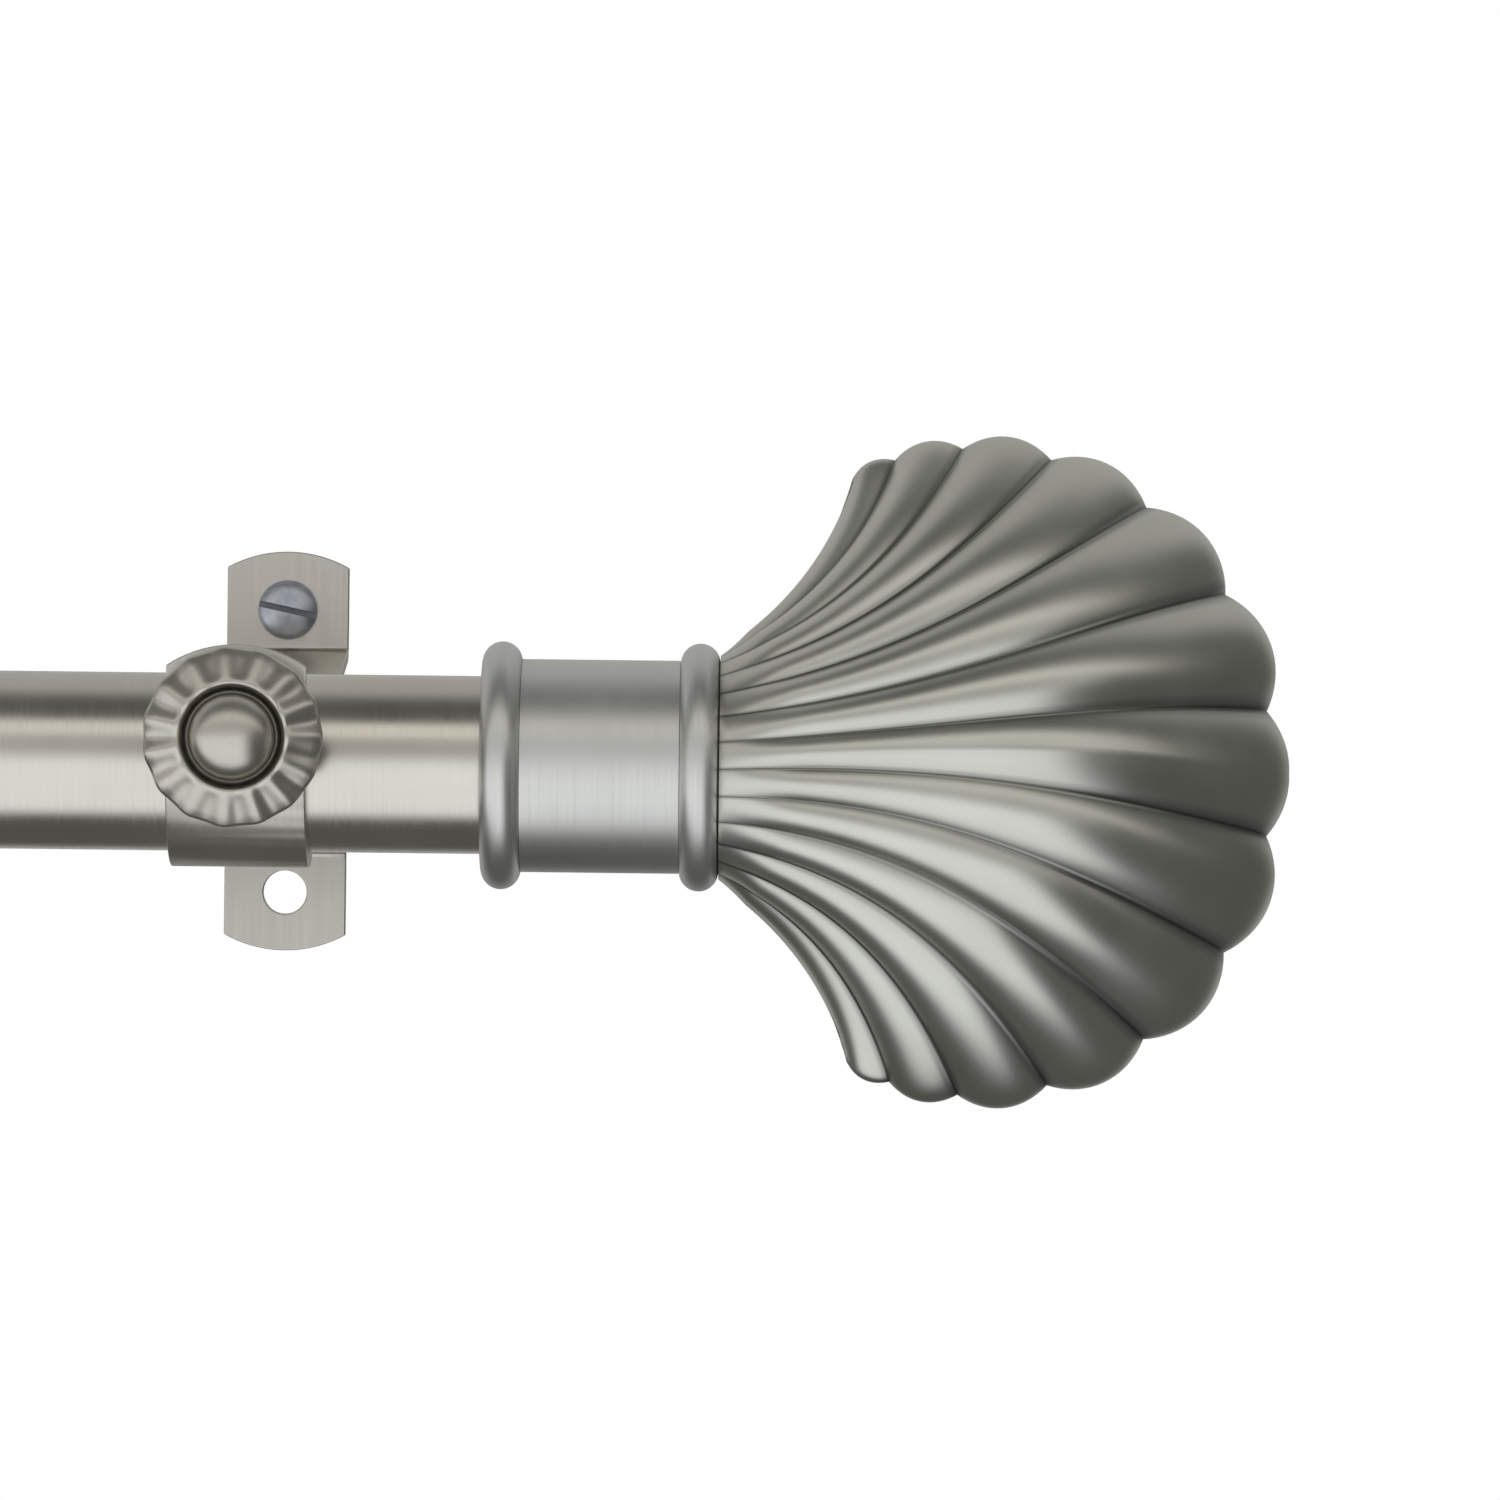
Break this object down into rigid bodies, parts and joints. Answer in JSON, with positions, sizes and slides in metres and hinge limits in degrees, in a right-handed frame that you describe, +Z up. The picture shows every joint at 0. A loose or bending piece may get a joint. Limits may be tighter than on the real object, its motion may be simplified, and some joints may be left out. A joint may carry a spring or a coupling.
{
  "type": "telescoping curtain rod with brackets",
  "caption": "Telescoping round curtain rod in brushed nickel with ribbed shell finials, held in adjustable hook brackets with rosette thumb screws.",
  "frame": {"origin": "on the wall's face, midway between the two brackets at the closed length, at the height of the rod's axis", "axes": "+X along the rod towards the end with the larger tube, +Y into the wall, +Z up"},
  "size_m": [0.8564, 0.1475, 0.0778],
  "materials": {
    "tube_nickel": "brushed satin nickel, fine lines along the rod",
    "strip_nickel": "satin nickel plate on pressed steel strip",
    "knob_nickel": "satin nickel, a little darker in the flutes",
    "collar_nickel": "matte nickel, fine turning lines round the collar",
    "shell_pewter": "cast resin under a satin pewter metallic lacquer",
    "zinc": "bright zinc plate, slightly blue",
    "nylon": "natural nylon"
  },
  "bodies": {
    "right_bracket": {"right_upper_wall_strip": "strip_nickel", "right_lower_wall_strip": "strip_nickel", "right_wall_screw": "zinc", "right_guide_rivet": "strip_nickel"},
    "left_bracket": {"left_upper_wall_strip": "strip_nickel", "left_lower_wall_strip": "strip_nickel", "left_wall_screw": "zinc", "left_guide_rivet": "strip_nickel"},
    "outer_rod": {"outer_tube": "tube_nickel"},
    "inner_rod": {"inner_tube": "tube_nickel", "guide_ring": "nylon"},
    "right_hook": {"right_hook": "strip_nickel"},
    "right_lock_screw": {"right_lock_screw": "zinc"},
    "right_lock_nut": {"right_lock_nut": "zinc"},
    "right_thumb_tip": {"right_thumb_tip": "nylon"},
    "right_thumb_knob": {"right_thumb_stem": "zinc", "right_rosette": "knob_nickel", "right_thumb_cap": "knob_nickel"},
    "right_finial_sleeve": {"right_finial_sleeve": "nylon"},
    "right_finial": {"right_finial_collar": "collar_nickel", "right_finial_stud": "zinc", "right_grub_screw": "zinc", "right_finial_shell": "shell_pewter"},
    "left_hook": {"left_hook": "strip_nickel"},
    "left_lock_screw": {"left_lock_screw": "zinc"},
    "left_lock_nut": {"left_lock_nut": "zinc"},
    "left_thumb_tip": {"left_thumb_tip": "nylon"},
    "left_thumb_knob": {"left_thumb_stem": "zinc", "left_rosette": "knob_nickel", "left_thumb_cap": "knob_nickel"},
    "left_finial_sleeve": {"left_finial_sleeve": "nylon"},
    "left_finial": {"left_finial_collar": "collar_nickel", "left_finial_stud": "zinc", "left_grub_screw": "zinc", "left_finial_shell": "shell_pewter"}
  },
  "joints": [
    {"name": "right_projection", "type": "slide", "parent": "right_bracket", "child": "right_hook", "axis": [0, -1, 0], "range_m": [0, 0.0254]},
    {"name": "rod_shift", "type": "slide", "parent": "right_hook", "child": "outer_rod", "axis": [1, 0, 0], "range_m": [-0.012, 0.012]},
    {"name": "telescope", "type": "slide", "parent": "outer_rod", "child": "inner_rod", "axis": [-1, 0, 0], "range_m": [0, 0.508]},
    {"name": "left_bracket_place", "type": "slide", "parent": "right_bracket", "child": "left_bracket", "axis": [-1, 0, 0], "range_m": [0, 0.508]},
    {"name": "left_projection", "type": "slide", "parent": "left_bracket", "child": "left_hook", "axis": [0, -1, 0], "range_m": [0, 0.0254]},
    {"name": "right_lock_turn", "type": "hinge", "parent": "right_bracket", "child": "right_lock_screw", "pos_m": [0.3069, -0.0623, 0.0013], "axis": [0, 0, 1], "range_deg": [0, 720]},
    {"name": "right_lock_nut_travel", "type": "slide", "parent": "right_bracket", "child": "right_lock_nut", "axis": [0, 0, -1], "range_m": [0, 0.0014]},
    {"name": "right_thumb_travel", "type": "slide", "parent": "right_hook", "child": "right_thumb_tip", "axis": [0, -1, 0], "range_m": [0, 0.0028]},
    {"name": "right_thumb_turn", "type": "hinge", "parent": "right_thumb_tip", "child": "right_thumb_knob", "pos_m": [0.3069, -0.105, 0.0029], "axis": [0, -1, 0], "range_deg": [0, 1440]},
    {"name": "right_finial_pull", "type": "slide", "parent": "outer_rod", "child": "right_finial_sleeve", "axis": [1, 0, 0], "range_m": [0, 0.03]},
    {"name": "right_finial_turn", "type": "hinge", "parent": "right_finial_sleeve", "child": "right_finial", "pos_m": [0.36, -0.089, 0], "axis": [1, 0, 0], "continuous": true},
    {"name": "left_lock_turn", "type": "hinge", "parent": "left_bracket", "child": "left_lock_screw", "pos_m": [-0.3069, -0.0623, 0.0024], "axis": [0, 0, 1], "range_deg": [0, 720]},
    {"name": "left_lock_nut_travel", "type": "slide", "parent": "left_bracket", "child": "left_lock_nut", "axis": [0, 0, -1], "range_m": [0, 0.0014]},
    {"name": "left_thumb_travel", "type": "slide", "parent": "left_hook", "child": "left_thumb_tip", "axis": [0, -1, 0], "range_m": [0, 0.0028]},
    {"name": "left_thumb_turn", "type": "hinge", "parent": "left_thumb_tip", "child": "left_thumb_knob", "pos_m": [-0.3069, -0.105, 0.004], "axis": [0, -1, 0], "range_deg": [0, 1440]},
    {"name": "left_finial_pull", "type": "slide", "parent": "inner_rod", "child": "left_finial_sleeve", "axis": [-1, 0, 0], "range_m": [0, 0.03]},
    {"name": "left_finial_turn", "type": "hinge", "parent": "left_finial_sleeve", "child": "left_finial", "pos_m": [-0.36, -0.089, 0], "axis": [1, 0, 0], "continuous": true}
  ],
  "couplings": [
    {"joint": "left_bracket_place", "follows": "telescope", "ratio": 1},
    {"joint": "left_projection", "follows": "right_projection", "ratio": 1},
    {"joint": "right_lock_turn", "follows": "right_lock_nut_travel", "rad_per_m": 8975.9},
    {"joint": "right_thumb_turn", "follows": "right_thumb_travel", "rad_per_m": 8975.9},
    {"joint": "left_lock_turn", "follows": "left_lock_nut_travel", "rad_per_m": 8975.9},
    {"joint": "left_thumb_turn", "follows": "left_thumb_travel", "rad_per_m": 8975.9}
  ]
}
